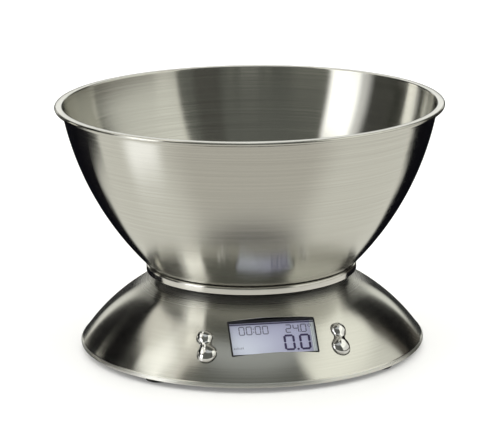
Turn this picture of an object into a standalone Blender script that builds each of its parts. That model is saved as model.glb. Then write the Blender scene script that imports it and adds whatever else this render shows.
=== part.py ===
"""Kitchen scale with a lift-off mixing bowl, built from its separate pieces.

Lengths are in millimetres and become metres when a mesh is made. The origin is on the table
under the middle of the scale, +Z is up, and the display faces -Y.
"""

import math

import bmesh
import bpy
from mathutils import Matrix, Vector

MM = 0.001
GAP = 0.3           # between pieces that touch
WELD = 1e-4         # points closer than this are one point
BIG_ROUND = 40      # sides of the bowl, the tray and the skirt
MID_ROUND = 24
SMALL_ROUND = 12

# Bowl: a spun steel dish whose wall is one arc, with a small radius at the floor
RIM_RADIUS = 108.0
BOWL_TOP = 138.6
BOWL_FLOOR = 47.9
BOWL_WALL = 0.7
BOWL_CORNER = 5.0
BOWL_CURVE = 166.4
BOWL_CENTRE = (-59.9, 165.2)    # radius and height of the wall arc's centre
WALL_TOP = 134.4                # where the wall turns out into the rim

# Weighing platform
TRAY_RADIUS = 59.0
TRAY_TOP = BOWL_FLOOR - GAP
TRAY_BOTTOM = 43.7
TRAY_WALL = 0.8
CARRIER_TOP = TRAY_TOP - TRAY_WALL - GAP
CARRIER_THICK = 2.4
STOP_PEG_RADIUS = 46.0
STOP_PEG_COUNT = 4
STOP_PEG_BOTTOM = 41.4          # 0.6 above the skirt's deck

# Skirt: a spun steel cover whose side is one arc
SKIRT_CURVE = 105.7
SKIRT_CENTRE = (8.9, -55.2)
SKIRT_WALL = 0.8
SKIRT_CREASE = 5.4              # height where the side meets the rolled edge
SKIRT_STEPS = 9
DECK_TOP = 40.8
DECK_HOLE = 40.0
LIP_RADIUS = 96.6
LIP_BOTTOM = 3.0

# Base plate, its feet and what stands on it
PLATE_RADIUS = 93.6
PLATE_BOTTOM = 3.6
PLATE_TOP = 6.0
FOOT_RADIUS = 6.5
FOOT_CIRCLE = 86.0
BOSS_SPOTS = [(x, y) for x in (-38.5, 38.5) for y in (-27.0, 27.0)]
BOSS_RADIUS = 3.6
STUB_TOP = 8.3

# Load cell: a bending beam along X, held at -X and carrying the platform at +X
CELL_HALF = 37.5
CELL_WIDTH = 12.7
CELL_BOTTOM = 14.3
CELL_TOP = CELL_BOTTOM + CELL_WIDTH
CELL_HOLES = (17.5, 32.5)       # distances of each end's two holes from the middle
CELL_HOLE_RADIUS = 2.3
SPACER_THICK = 1.7
PEDESTAL_TOP = CELL_BOTTOM - SPACER_THICK - 2 * GAP
POST_BOTTOM = CELL_TOP + SPACER_THICK + 2 * GAP

# Display, in the plane of the window: X across, Y up the slope, Z out of the skirt
WINDOW_AT = (0.0, -73.95, 24.25)
WINDOW_TILT = math.radians(39.7)
WINDOW = (47.6, 23.0)
LENS = (50.8, 26.2)
LENS_TOP = -1.9
LENS_THICK = 1.0
LEDGE_TOP = -3.2
LEDGE_BOTTOM = -4.6
LCD = (52.0, 28.0)
LCD_TOP = LEDGE_BOTTOM - GAP
LCD_THICK = 2.2
LCD_FACE = (48.0, 23.4)         # the front glass stands up through the frame's opening
LCD_FACE_TOP = LEDGE_TOP - 0.1
BACKLIGHT = (50.0, 21.0)
BOARD = (84.0, 26.0)
BOARD_TOP = -10.5
BOARD_THICK = 1.6
FRAME = (57.0, 31.2)
FRAME_TOP = -3.4
FRAME_BOTTOM = BOARD_TOP + GAP
FRAME_BOSSES = [(x, y) for x in (-29.9, 29.9) for y in (-10.0, 10.6)]
LEG_SPOTS = [(x, -53.0) for x in (-20.0, 20.0)]

# Buttons: chrome figure-eight rockers beside the window
BUTTON_AT = (36.5, -73.6)
BUTTON_LENGTH = 19.9
LOWER_LOBE = 5.2
UPPER_LOBE = 4.3
WAIST_CURVE = 4.05
BUTTON_PROUD = 1.6
FLANGE_TOP = -2.25
FLANGE_BOTTOM = -3.3
ROCK_AXIS = -3.6
PLUNGER_TIP = -4.7
LOBE_SPOTS = (LOWER_LOBE - BUTTON_LENGTH / 2, BUTTON_LENGTH / 2 - UPPER_LOBE)

# Battery box under the rear, for two AAA cells lying along X
DOOR_HALF = 24.3
DOOR_FRONT = 31.3
DOOR_REAR = 59.0
DOOR_TOP = 5.2
DOOR_HINGE = (30.6, 3.9)        # Y and Z of the edge that the door turns on
WELL_HALF = 25.4
WELL_FRONT = 28.0
WELL_REAR = 61.0
WELL_TOP = 19.0
WELL_WALL = 1.5
BATTERY_RADIUS = 5.25
BATTERY_LENGTH = 44.3
BATTERY_Z = 11.2
BATTERY_Y = (39.5, 50.9)
BATTERY_END = 24.3

LOOKS = {   # colour, roughness, metallic
    "steel": ((0.62, 0.61, 0.57), 0.28, 1.0),
    "chrome": ((0.80, 0.80, 0.80), 0.08, 1.0),
    "zinc": ((0.60, 0.60, 0.58), 0.35, 1.0),
    "aluminium": ((0.72, 0.72, 0.74), 0.38, 1.0),
    "copper": ((0.70, 0.45, 0.30), 0.35, 1.0),
    "dark_plastic": ((0.05, 0.05, 0.055), 0.55, 0.0),
    "grey_plastic": ((0.38, 0.38, 0.39), 0.50, 0.0),
    "white_plastic": ((0.80, 0.80, 0.78), 0.45, 0.0),
    "rubber": ((0.02, 0.02, 0.02), 0.85, 0.0),
    "glass": ((0.85, 0.88, 0.90), 0.05, 0.0),
    "lcd": ((0.48, 0.49, 0.60), 0.25, 0.0),
    "board": ((0.04, 0.22, 0.09), 0.45, 0.0),
    "silicone": ((0.75, 0.74, 0.70), 0.60, 0.0),
    "battery": ((0.15, 0.25, 0.45), 0.30, 0.6),
    "red": ((0.55, 0.03, 0.02), 0.50, 0.0),
    "paper": ((0.78, 0.78, 0.76), 0.60, 0.0),
}


# ---------------------------------------------------------------- building blocks

def clear_scene():
    for old in list(bpy.data.objects):
        bpy.data.objects.remove(old, do_unlink=True)


def material(name, look):
    colour, roughness, metallic = LOOKS[look]
    made = bpy.data.materials.new(name)
    made.use_nodes = True
    shader = made.node_tree.nodes["Principled BSDF"]
    shader.inputs["Base Color"].default_value = (*colour, 1.0)
    shader.inputs["Roughness"].default_value = roughness
    shader.inputs["Metallic"].default_value = metallic
    return made


def arc(centre, radius, start, end, steps):
    """Points of an arc between two angles in degrees, both ends included."""
    turns = [math.radians(start + (end - start) * i / steps) for i in range(steps + 1)]
    return [(centre[0] + radius * math.cos(t), centre[1] + radius * math.sin(t)) for t in turns]


def moved(place, points):
    return [(place @ Vector(point)) for point in points] if place else points


def add_turned(bm, outline, sides, place=None):
    """Turns a (radius, height) outline round Z. It starts and ends on the axis, or is closed."""
    ring = [bm.verts.new((radius, 0.0, height)) for radius, height in outline]
    pairs = zip(ring, ring[1:] + ring[:1])
    edges = [bm.edges.new(pair) for pair in pairs if max(v.co.x for v in pair) > WELD]
    spun = set(bm.verts) - set(ring)
    bmesh.ops.spin(
        bm, geom=ring + edges, cent=(0, 0, 0), axis=(0, 0, 1), angle=math.tau, steps=sides,
        use_merge=True,
    )
    fresh = [v for v in bm.verts if v not in spun]
    bmesh.ops.remove_doubles(bm, verts=fresh, dist=WELD)
    if place:
        fresh = [v for v in bm.verts if v not in spun]
        bmesh.ops.transform(bm, matrix=place, verts=fresh)


def add_loft(bm, rings, place=None):
    """A skin through rings with the same number of points, closed by a face at each end."""
    loops = [[bm.verts.new(point) for point in moved(place, ring)] for ring in rings]
    for low, high in zip(loops, loops[1:]):
        for i, corner in enumerate(low):
            j = (i + 1) % len(low)
            bm.faces.new((corner, low[j], high[j], high[i]))
    bm.faces.new(loops[0][::-1])
    bm.faces.new(loops[-1])


def add_prism(bm, outline, low, high, place=None):
    """An (x, y) outline extruded from z = low to z = high."""
    add_loft(bm, [[(x, y, z) for x, y in outline] for z in (low, high)], place)


def add_box(bm, low, high, place=None):
    outline = [(low[0], low[1]), (high[0], low[1]), (high[0], high[1]), (low[0], high[1])]
    add_prism(bm, outline, low[2], high[2], place)


def add_slab(bm, size, low, high, place=None, at=(0.0, 0.0)):
    """A box of the given width and depth centred on at, from z = low to z = high."""
    half = [side / 2 for side in size]
    add_box(
        bm, (at[0] - half[0], at[1] - half[1], low), (at[0] + half[0], at[1] + half[1], high),
        place,
    )


def rectangle(size, height, at=(0.0, 0.0)):
    """The corners of a level rectangle centred on at."""
    half = [side / 2 for side in size]
    corners = ((-1, -1), (1, -1), (1, 1), (-1, 1))
    return [(at[0] + x * half[0], at[1] + y * half[1], height) for x, y in corners]


def add_rod(bm, radius, low, high, at=(0.0, 0.0), sides=SMALL_ROUND, place=None):
    """An upright cylinder at an (x, y) spot."""
    spot = Matrix.Translation((at[0], at[1], 0.0))
    outline = [(0.0, low), (radius, low), (radius, high), (0.0, high)]
    add_turned(bm, outline, sides, place @ spot if place else spot)


def in_metres(place):
    scaled = place.copy()
    scaled.translation = place.translation * MM
    return scaled


def to_object(name, bm, place):
    bmesh.ops.recalc_face_normals(bm, faces=bm.faces)
    bmesh.ops.scale(bm, vec=(MM, MM, MM), verts=bm.verts)
    mesh = bpy.data.meshes.new(name)
    bm.to_mesh(mesh)
    bm.free()
    mesh.shade_smooth()
    mesh.set_sharp_from_angle(angle=math.radians(35))
    piece = bpy.data.objects.new(name, mesh)
    bpy.context.scene.collection.objects.link(piece)
    if place:
        piece.matrix_world = in_metres(place)
    return piece


def make(name, bm, look, place=None):
    """A piece of the scale from the shapes in bm."""
    piece = to_object(name, bm, place)
    piece.data.materials.append(material(name, look))
    return piece


def reshape(piece, operation, bm):
    """Joins the shapes in bm to a piece, or cuts them out of it."""
    shape = to_object(f"{piece.name}_{operation.lower()}", bm, None)
    shape.hide_render = True
    shape.display_type = "WIRE"
    change = piece.modifiers.new(operation.title(), "BOOLEAN")
    change.operation = operation
    change.solver = "EXACT"
    change.use_self = True
    change.object = shape


def smooth_route(points, steps):
    """Points along a Catmull-Rom curve through the given ones."""
    knots = [Vector(point) for point in points]
    knots = [2 * knots[0] - knots[1]] + knots + [2 * knots[-1] - knots[-2]]
    route = []
    for a, b, c, d in zip(knots, knots[1:], knots[2:], knots[3:]):
        for i in range(steps):
            t = i / steps
            route.append(
                0.5 * (2 * b + (c - a) * t + (2 * a - 5 * b + 4 * c - d) * t**2
                       + (3 * b - a - 3 * c + d) * t**3)
            )
    return route + [knots[-2]]


def make_tube(name, route, radius, look):
    """Round wire along a route of points."""
    curve = bpy.data.curves.new(name, "CURVE")
    curve.dimensions = "3D"
    curve.bevel_depth = radius * MM
    curve.bevel_resolution = 2
    curve.use_fill_caps = True
    spline = curve.splines.new("POLY")
    spline.points.add(len(route) - 1)
    for knot, point in zip(spline.points, route):
        knot.co = (*(Vector(point) * MM), 1.0)
    curve.materials.append(material(name, look))
    wire = bpy.data.objects.new(name, curve)
    bpy.context.scene.collection.objects.link(wire)


def make_screws(name, places, head, shank, sides=SMALL_ROUND):
    """Pan-head screws that point up in their own frames.

    head is (bottom, radius, height) and shank is (radius, height of its tip).
    """
    bottom, radius, height = head
    outline = [
        (0.0, bottom), (radius * 0.8, bottom), (radius, bottom + height * 0.4),
        (radius, bottom + height), (shank[0], bottom + height), (shank[0], shank[1] - shank[0]),
        (0.0, shank[1]),
    ]
    for number, place in enumerate(places, 1):
        bm = bmesh.new()
        add_turned(bm, outline, sides, place)
        make(f"{name}_{number}", bm, "zinc")


def upright_at(x, y):
    return Matrix.Translation((x, y, 0.0))


# ---------------------------------------------------------------- local frames

WINDOW_FRAME = Matrix.Translation(WINDOW_AT) @ Matrix.Rotation(WINDOW_TILT, 4, "X")


def skirt_height(radius, offset=0.0):
    """Height of the skirt's arc at a distance from the middle."""
    return SKIRT_CENTRE[1] + math.sqrt(
        (SKIRT_CURVE - offset) ** 2 - (radius - SKIRT_CENTRE[0]) ** 2
    )


def button_frame(side):
    """A frame on the skirt at a button: Y up the slope at constant X, Z out of the surface."""
    x, y = side * BUTTON_AT[0], BUTTON_AT[1]
    radius = math.hypot(x, y)
    lean = math.asin((radius - SKIRT_CENTRE[0]) / SKIRT_CURVE)
    out = Vector((x / radius * math.sin(lean), y / radius * math.sin(lean), math.cos(lean)))
    up = Vector((0.0, out.z, -out.y)).normalized()
    turn = Matrix((up.cross(out), up, out)).transposed().to_4x4()
    return Matrix.Translation((x, y, skirt_height(radius))) @ turn


def figure_eight(grow):
    """The button's outline in its own plane, grown outwards."""
    low_at, high_at = LOBE_SPOTS
    span = high_at - low_at
    to_low, to_high = LOWER_LOBE + WAIST_CURVE, UPPER_LOBE + WAIST_CURVE
    along = (to_low**2 - to_high**2 + span**2) / (2 * span)
    aside = math.sqrt(to_low**2 - along**2)
    low_turn = math.degrees(math.atan2(along, aside))
    high_turn = math.degrees(math.atan2(span - along, aside))
    right = arc((0, low_at), LOWER_LOBE + grow, -90, low_turn, 7)
    waist = arc((aside, low_at + along), WAIST_CURVE - grow, 180 + low_turn, 180 - high_turn, 3)
    right += waist[1:] + arc((0, high_at), UPPER_LOBE + grow, -high_turn, 90, 6)[1:]
    return right + [(-x, y) for x, y in right[-2:0:-1]]


def figure_ring(grow, height):
    return [(x, y, height) for x, y in figure_eight(grow)]


# ---------------------------------------------------------------- bowl and platform

def bowl_side(inset):
    """The bowl's side from the floor's edge to the top of the wall, moved in by inset."""
    corner_z = BOWL_FLOOR + BOWL_CORNER
    drop = corner_z - BOWL_CENTRE[1]
    reach = math.sqrt((BOWL_CURVE - BOWL_CORNER) ** 2 - drop**2)
    meet = math.degrees(math.atan2(drop, reach))
    curve = BOWL_CURVE - inset
    top = math.degrees(math.asin((WALL_TOP - BOWL_CENTRE[1]) / curve))
    corner = arc((BOWL_CENTRE[0] + reach, corner_z), BOWL_CORNER - inset, -90, meet, 2)
    return corner + arc(BOWL_CENTRE, curve, meet, top, 7)[1:]


def make_bowl():
    rim = [
        (RIM_RADIUS - 3.4, BOWL_TOP - 2.6), (RIM_RADIUS - 1.0, BOWL_TOP - 2.3),
        (RIM_RADIUS, BOWL_TOP - 1.5), (RIM_RADIUS, BOWL_TOP - 0.7),
        (RIM_RADIUS - 0.7, BOWL_TOP), (RIM_RADIUS - 3.0, BOWL_TOP - 0.2),
        (RIM_RADIUS - 4.4, BOWL_TOP - 1.2),
    ]
    outline = [(0.0, BOWL_FLOOR)] + bowl_side(0.0) + rim
    outline += bowl_side(BOWL_WALL)[::-1] + [(0.0, BOWL_FLOOR + BOWL_WALL)]
    bm = bmesh.new()
    add_turned(bm, outline, BIG_ROUND)
    make("bowl", bm, "steel")


def make_tray():
    edge = 1.2
    outside = arc((TRAY_RADIUS - edge, TRAY_TOP - edge), edge, 0, 90, 2)
    inside = arc(
        (TRAY_RADIUS - edge, TRAY_TOP - edge), edge - TRAY_WALL, 90, 0, 1
    )
    outline = [(TRAY_RADIUS - TRAY_WALL, TRAY_BOTTOM), (TRAY_RADIUS, TRAY_BOTTOM)] + outside
    outline += [(0.0, TRAY_TOP), (0.0, TRAY_TOP - TRAY_WALL)] + inside
    bm = bmesh.new()
    add_turned(bm, outline, BIG_ROUND)
    make("platform_tray", bm, "steel")


def make_carrier():
    """The plastic disc under the tray, whose post stands on the load cell's free end."""
    bottom = CARRIER_TOP - CARRIER_THICK
    radius = TRAY_RADIUS - TRAY_WALL - 2 * GAP
    bm = bmesh.new()
    add_rod(bm, radius, bottom, CARRIER_TOP, sides=BIG_ROUND)
    carrier = make("platform_carrier", bm, "grey_plastic")

    post_middle = sum(CELL_HOLES) / 2
    bm = bmesh.new()
    add_slab(bm, (26.0, 15.0), POST_BOTTOM, bottom + 1.0, at=(post_middle, 0.0))
    for i in range(STOP_PEG_COUNT):
        angle = math.radians(45 + 360 * i / STOP_PEG_COUNT)
        spot = (STOP_PEG_RADIUS * math.cos(angle), STOP_PEG_RADIUS * math.sin(angle))
        add_rod(bm, 3.0, STOP_PEG_BOTTOM, bottom + 1.0, spot)
    reshape(carrier, "UNION", bm)

    seat = POST_BOTTOM + 5.0
    bm = bmesh.new()
    for x in CELL_HOLES:
        add_turned(
            bm,
            [(0.0, POST_BOTTOM - 1.0), (CELL_HOLE_RADIUS, POST_BOTTOM - 1.0),
             (CELL_HOLE_RADIUS, seat), (4.0, seat), (4.0, CARRIER_TOP + 1.0),
             (0.0, CARRIER_TOP + 1.0)],
            SMALL_ROUND, upright_at(x, 0.0),
        )
    reshape(carrier, "DIFFERENCE", bm)

    down = [upright_at(x, 0.0) @ Matrix.Rotation(math.pi, 4, "X") for x in CELL_HOLES]
    make_screws("carrier_screw", down, (-seat - GAP - 2.8, 3.4, 2.8), (1.9, -18.0))


# ---------------------------------------------------------------- load cell

def make_load_cell():
    half = CELL_WIDTH / 2
    bm = bmesh.new()
    add_box(bm, (-CELL_HALF, -half, CELL_BOTTOM), (CELL_HALF, half, CELL_TOP))
    cell = make("load_cell", bm, "aluminium")

    lying = Matrix.Translation((0.0, 0.0, (CELL_BOTTOM + CELL_TOP) / 2))
    lying = lying @ Matrix.Rotation(math.pi / 2, 4, "X")
    eye, eye_at = 4.4, 6.0
    bm = bmesh.new()
    for x in (-eye_at, eye_at):
        add_rod(bm, eye, -CELL_WIDTH, CELL_WIDTH, (x, 0.0), 16, lying)
    add_slab(bm, (2 * eye_at, 2.0), -CELL_WIDTH, CELL_WIDTH, lying)
    for x in CELL_HOLES:
        for end in (-x, x):
            add_rod(bm, CELL_HOLE_RADIUS, CELL_BOTTOM - 1.0, CELL_TOP + 1.0, (end, 0.0))
    reshape(cell, "DIFFERENCE", bm)

    for name, low in (("lower", CELL_BOTTOM - GAP - 0.8), ("upper", CELL_TOP + GAP)):
        bm = bmesh.new()
        add_slab(bm, (18.0, 9.0), low, low + 0.8)
        make(f"strain_gauge_pad_{name}", bm, "silicone")

    for name, side, low in (
        ("lower_spacer", -1, CELL_BOTTOM - GAP - SPACER_THICK),
        ("upper_spacer", 1, CELL_TOP + GAP),
    ):
        middle = side * sum(CELL_HOLES) / 2
        bm = bmesh.new()
        add_slab(bm, (25.0, CELL_WIDTH), low, low + SPACER_THICK, at=(middle, 0.0))
        spacer = make(name, bm, "zinc")
        bm = bmesh.new()
        for x in CELL_HOLES:
            add_rod(bm, CELL_HOLE_RADIUS, low - 1.0, low + SPACER_THICK + 1.0, (side * x, 0.0))
        reshape(spacer, "DIFFERENCE", bm)

    make_screws(
        "load_cell_screw", [upright_at(-x, 0.0) for x in CELL_HOLES], (4.2, 3.4, 2.8), (1.9, 25.5)
    )


# ---------------------------------------------------------------- skirt and base

def skirt_side(inset, low, high, steps):
    """The skirt's side from the height high down to low, moved in by inset."""
    curve = SKIRT_CURVE - inset
    top, bottom = [
        math.degrees(math.asin((z - SKIRT_CENTRE[1]) / curve)) for z in (high, low)
    ]
    return arc(SKIRT_CENTRE, curve, top, bottom, steps)


def make_skirt():
    outside = [(DECK_HOLE, DECK_TOP)] + skirt_side(0.0, SKIRT_CREASE, DECK_TOP, SKIRT_STEPS)
    lip = [
        (LIP_RADIUS - 0.4, SKIRT_CREASE - 0.5), (LIP_RADIUS, SKIRT_CREASE - 1.3),
        (LIP_RADIUS - 0.2, LIP_BOTTOM), (LIP_RADIUS - 1.0, LIP_BOTTOM),
        (LIP_RADIUS - 1.0, SKIRT_CREASE - 1.2),
    ]
    inside = skirt_side(SKIRT_WALL, SKIRT_CREASE - 0.5, DECK_TOP - SKIRT_WALL, SKIRT_STEPS)[::-1]
    bm = bmesh.new()
    add_turned(bm, outside + lip + inside + [(DECK_HOLE, DECK_TOP - SKIRT_WALL)], BIG_ROUND)
    skirt = make("skirt_shell", bm, "steel")

    bm = bmesh.new()
    add_slab(bm, WINDOW, -6.0, 8.0, WINDOW_FRAME)
    for side in (-1, 1):
        add_loft(bm, [figure_ring(0.4, -4.0), figure_ring(0.4, 4.0)], button_frame(side))
    reshape(skirt, "DIFFERENCE", bm)


def make_inner_frame():
    """The plastic ring under the deck, with four bosses that take the base screws."""
    top = DECK_TOP - SKIRT_WALL - GAP
    bm = bmesh.new()
    outline = [(DECK_HOLE + 1.0, top - 2.0), (51.5, top - 2.0), (51.5, top), (DECK_HOLE + 1.0, top)]
    add_turned(bm, outline, BIG_ROUND)
    ring = make("inner_frame", bm, "grey_plastic")
    bm = bmesh.new()
    for spot in BOSS_SPOTS:
        add_rod(bm, BOSS_RADIUS, STUB_TOP + GAP, top - 1.0, spot)
    reshape(ring, "UNION", bm)
    bm = bmesh.new()
    for spot in BOSS_SPOTS:
        add_rod(bm, 1.7, STUB_TOP - 1.0, 21.0, spot)
    reshape(ring, "DIFFERENCE", bm)


def make_base_plate():
    rim_top = PLATE_TOP + 2.0
    outline = [
        (0.0, PLATE_BOTTOM), (PLATE_RADIUS, PLATE_BOTTOM), (PLATE_RADIUS, PLATE_TOP),
        (PLATE_RADIUS - 2.2, PLATE_TOP), (PLATE_RADIUS - 2.2, rim_top),
        (PLATE_RADIUS - 3.4, rim_top), (PLATE_RADIUS - 3.4, PLATE_TOP), (0.0, PLATE_TOP),
    ]
    bm = bmesh.new()
    add_turned(bm, outline, BIG_ROUND)
    plate = make("base_plate", bm, "dark_plastic")

    pedestal_middle = -sum(CELL_HOLES) / 2
    bm = bmesh.new()
    add_slab(bm, (26.0, 16.0), PLATE_TOP - 1.0, PEDESTAL_TOP, at=(pedestal_middle, 0.0))
    add_box(
        bm, (-WELL_HALF - WELL_WALL, WELL_FRONT - WELL_WALL, PLATE_TOP - 1.0),
        (WELL_HALF + WELL_WALL, WELL_REAR + WELL_WALL, WELL_TOP + WELL_WALL),
    )
    for spot in BOSS_SPOTS:
        add_rod(bm, 5.0, PLATE_TOP - 1.0, STUB_TOP, spot)
    reshape(plate, "UNION", bm)

    bm = bmesh.new()
    add_box(bm, (-WELL_HALF, WELL_FRONT, PLATE_TOP), (WELL_HALF, WELL_REAR, WELL_TOP))
    add_box(
        bm, (-DOOR_HALF - GAP, DOOR_FRONT - GAP, PLATE_BOTTOM - 1.0),
        (DOOR_HALF + GAP, DOOR_REAR + 0.4, PLATE_TOP + 1.0),
    )
    for spot in foot_spots():
        add_rod(bm, 2.8, PLATE_BOTTOM - 1.0, PLATE_TOP + 1.0, spot)
    for spot in BOSS_SPOTS:
        add_turned(bm, counterbore(3.6, 5.8, 1.9, STUB_TOP + 1.0), SMALL_ROUND, upright_at(*spot))
    for x in CELL_HOLES:
        outline = counterbore(4.0, 7.6, CELL_HOLE_RADIUS, PEDESTAL_TOP + 1.0)
        add_turned(bm, outline, SMALL_ROUND, upright_at(-x, 0.0))
    for spot in LEG_SPOTS:
        add_turned(bm, counterbore(2.9, 5.0, 1.5, PLATE_TOP + 1.0), SMALL_ROUND, upright_at(*spot))
    reshape(plate, "DIFFERENCE", bm)

    make_screws(
        "base_screw", [upright_at(*spot) for spot in BOSS_SPOTS], (3.9, 3.0, 1.6), (1.35, 20.0)
    )

    bm = bmesh.new()
    add_slab(bm, (44.0, 20.0), PLATE_BOTTOM - GAP - 0.15, PLATE_BOTTOM - GAP, at=(0.0, -24.0))
    make("rating_label", bm, "paper")


def counterbore(head_radius, head_top, hole_radius, top):
    """The outline of a screw's seat cut up into the underside."""
    low = PLATE_BOTTOM - 1.0
    return [
        (0.0, low), (head_radius, low), (head_radius, head_top), (hole_radius, head_top),
        (hole_radius, top), (0.0, top),
    ]


def foot_spots():
    reach = FOOT_CIRCLE * math.sqrt(0.5)
    return [(x, y) for y in (-reach, reach) for x in (-reach, reach)]


def make_feet():
    """Rubber pads, each with a peg pushed up through the plate."""
    outline = [
        (0.0, 0.0), (FOOT_RADIUS - 0.8, 0.0), (FOOT_RADIUS, 0.8),
        (FOOT_RADIUS, PLATE_BOTTOM - GAP), (2.4, PLATE_BOTTOM - GAP), (2.4, PLATE_TOP + GAP),
        (3.4, PLATE_TOP + GAP), (2.6, PLATE_TOP + 1.3), (0.0, PLATE_TOP + 1.3),
    ]
    names = ("foot_front_left", "foot_front_right", "foot_rear_left", "foot_rear_right")
    for name, (x, y) in zip(names, foot_spots()):
        bm = bmesh.new()
        add_turned(bm, outline, 16)
        make(name, bm, "rubber", Matrix.Translation((x, y, 0.0)))


# ---------------------------------------------------------------- display and electronics

def make_display():
    bm = bmesh.new()
    add_slab(bm, LENS, LENS_TOP - LENS_THICK, LENS_TOP, WINDOW_FRAME)
    make("lcd_window", bm, "glass")

    bm = bmesh.new()
    add_slab(bm, FRAME, FRAME_BOTTOM, FRAME_TOP, WINDOW_FRAME)
    frame = make("display_frame", bm, "dark_plastic")
    collar = (LENS[0] + 3.6, LENS[1] + 3.6)
    bm = bmesh.new()
    add_slab(bm, collar, LEDGE_BOTTOM, FRAME_TOP + 1.0, WINDOW_FRAME)
    for spot in FRAME_BOSSES:
        add_rod(bm, 2.0, FRAME_BOTTOM, -6.6, spot, place=WINDOW_FRAME)
    for x, y in LEG_SPOTS:
        add_slab(bm, (7.0, 8.0), FRAME_BOTTOM, -8.0, WINDOW_FRAME, (x, 16.0))
        add_box(bm, (x - 3.0, y - 2.7, PLATE_TOP + GAP), (x + 3.0, y + 2.7, 29.4))
    reshape(frame, "UNION", bm)

    bm = bmesh.new()
    add_slab(bm, (48.6, 24.0), LEDGE_BOTTOM - 1.0, LEDGE_TOP + 1.0, WINDOW_FRAME)
    add_slab(bm, (LENS[0] + 2 * GAP, LENS[1] + 2 * GAP), LEDGE_TOP, 1.0, WINDOW_FRAME)
    add_slab(bm, (LCD[0] + 2 * GAP, LCD[1] + 2 * GAP), FRAME_BOTTOM - 1.0, LEDGE_BOTTOM,
             WINDOW_FRAME)
    for spot in FRAME_BOSSES:
        add_rod(bm, 1.0, FRAME_BOTTOM - 1.0, -7.2, spot, 8, WINDOW_FRAME)
    for spot in LEG_SPOTS:
        add_rod(bm, 1.5, PLATE_TOP - 1.0, 17.0, spot)
    reshape(frame, "DIFFERENCE", bm)
    make_screws(
        "display_screw", [upright_at(*spot) for spot in LEG_SPOTS], (3.9, 2.5, 0.9), (1.15, 15.5)
    )

    bm = bmesh.new()
    steps = (
        (LCD, LCD_TOP - LCD_THICK), (LCD, LCD_TOP), (LCD_FACE, LCD_TOP), (LCD_FACE, LCD_FACE_TOP),
    )
    add_loft(bm, [rectangle(size, height) for size, height in steps], WINDOW_FRAME)
    make("lcd_panel", bm, "lcd")
    light_top = LCD_TOP - LCD_THICK - GAP
    bm = bmesh.new()
    add_slab(bm, BACKLIGHT, light_top - 1.8, light_top, WINDOW_FRAME)
    make("lcd_backlight", bm, "white_plastic")
    for name, y in (("lower", -12.4), ("upper", 12.4)):
        bm = bmesh.new()
        add_slab(bm, (44.0, 2.2), FRAME_BOTTOM, light_top, WINDOW_FRAME, (0.0, y))
        make(f"lcd_connector_{name}", bm, "silicone")


def make_board():
    bm = bmesh.new()
    add_slab(bm, BOARD, BOARD_TOP - BOARD_THICK, BOARD_TOP, WINDOW_FRAME)
    board = make("main_board", bm, "board")
    bm = bmesh.new()
    for spot in FRAME_BOSSES:
        add_rod(bm, 1.1, BOARD_TOP - BOARD_THICK - 1.0, BOARD_TOP + 1.0, spot, 8, WINDOW_FRAME)
    reshape(board, "DIFFERENCE", bm)

    back = BOARD_TOP - BOARD_THICK - GAP
    places = [WINDOW_FRAME @ upright_at(*spot) for spot in FRAME_BOSSES]
    make_screws("board_screw", places, (back - 1.0, 1.6, 1.0), (0.7, -7.6), 8)

    bm = bmesh.new()
    dome = [(0.0, back), (5.0, back), (4.6, back - 0.8), (2.6, back - 1.5), (0.0, back - 1.8)]
    add_turned(bm, dome[::-1], 16, WINDOW_FRAME @ upright_at(9.0, -1.0))
    make("controller_chip", bm, "dark_plastic")

    bm = bmesh.new()
    add_rod(bm, 1.6, BOARD_TOP + GAP, BOARD_TOP + 2.2, (39.0, 10.0), 8, WINDOW_FRAME)
    make("temperature_sensor", bm, "dark_plastic")

    bm = bmesh.new()
    add_turned(bm, [(0.0, 6.3), (9.0, 6.3), (9.0, 10.0), (2.0, 10.0), (2.0, 8.6), (0.0, 8.6)],
               MID_ROUND, upright_at(-25.0, -36.0))
    make("buzzer", bm, "dark_plastic")


def switch_spots():
    """Where lines straight down through the buttons' lobes meet the board."""
    to_window = WINDOW_FRAME.inverted()
    spots = []
    for side in (-1, 1):
        for lobe in LOBE_SPOTS:
            top, lower = [
                to_window @ button_frame(side) @ Vector((0.0, lobe, z)) for z in (0.0, -1.0)
            ]
            down = (BOARD_TOP - top.z) / (lower.z - top.z)
            spots.append(tuple((top + (lower - top) * down).xy))
    return spots


def make_switches():
    """Four press switches, each a square body with a smaller square stem."""
    body, stem = 4.5, 2.6
    low, middle, high = BOARD_TOP + GAP, BOARD_TOP + 2.0, BOARD_TOP + 2.6
    for number, (x, y) in enumerate(switch_spots(), 1):
        steps = ((body, low), (body, middle), (stem, middle), (stem, high))
        rings = [rectangle((size, size), height, (x, y)) for size, height in steps]
        bm = bmesh.new()
        add_loft(bm, rings, WINDOW_FRAME)
        make(f"press_switch_{number}", bm, "dark_plastic")


# ---------------------------------------------------------------- buttons

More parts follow.
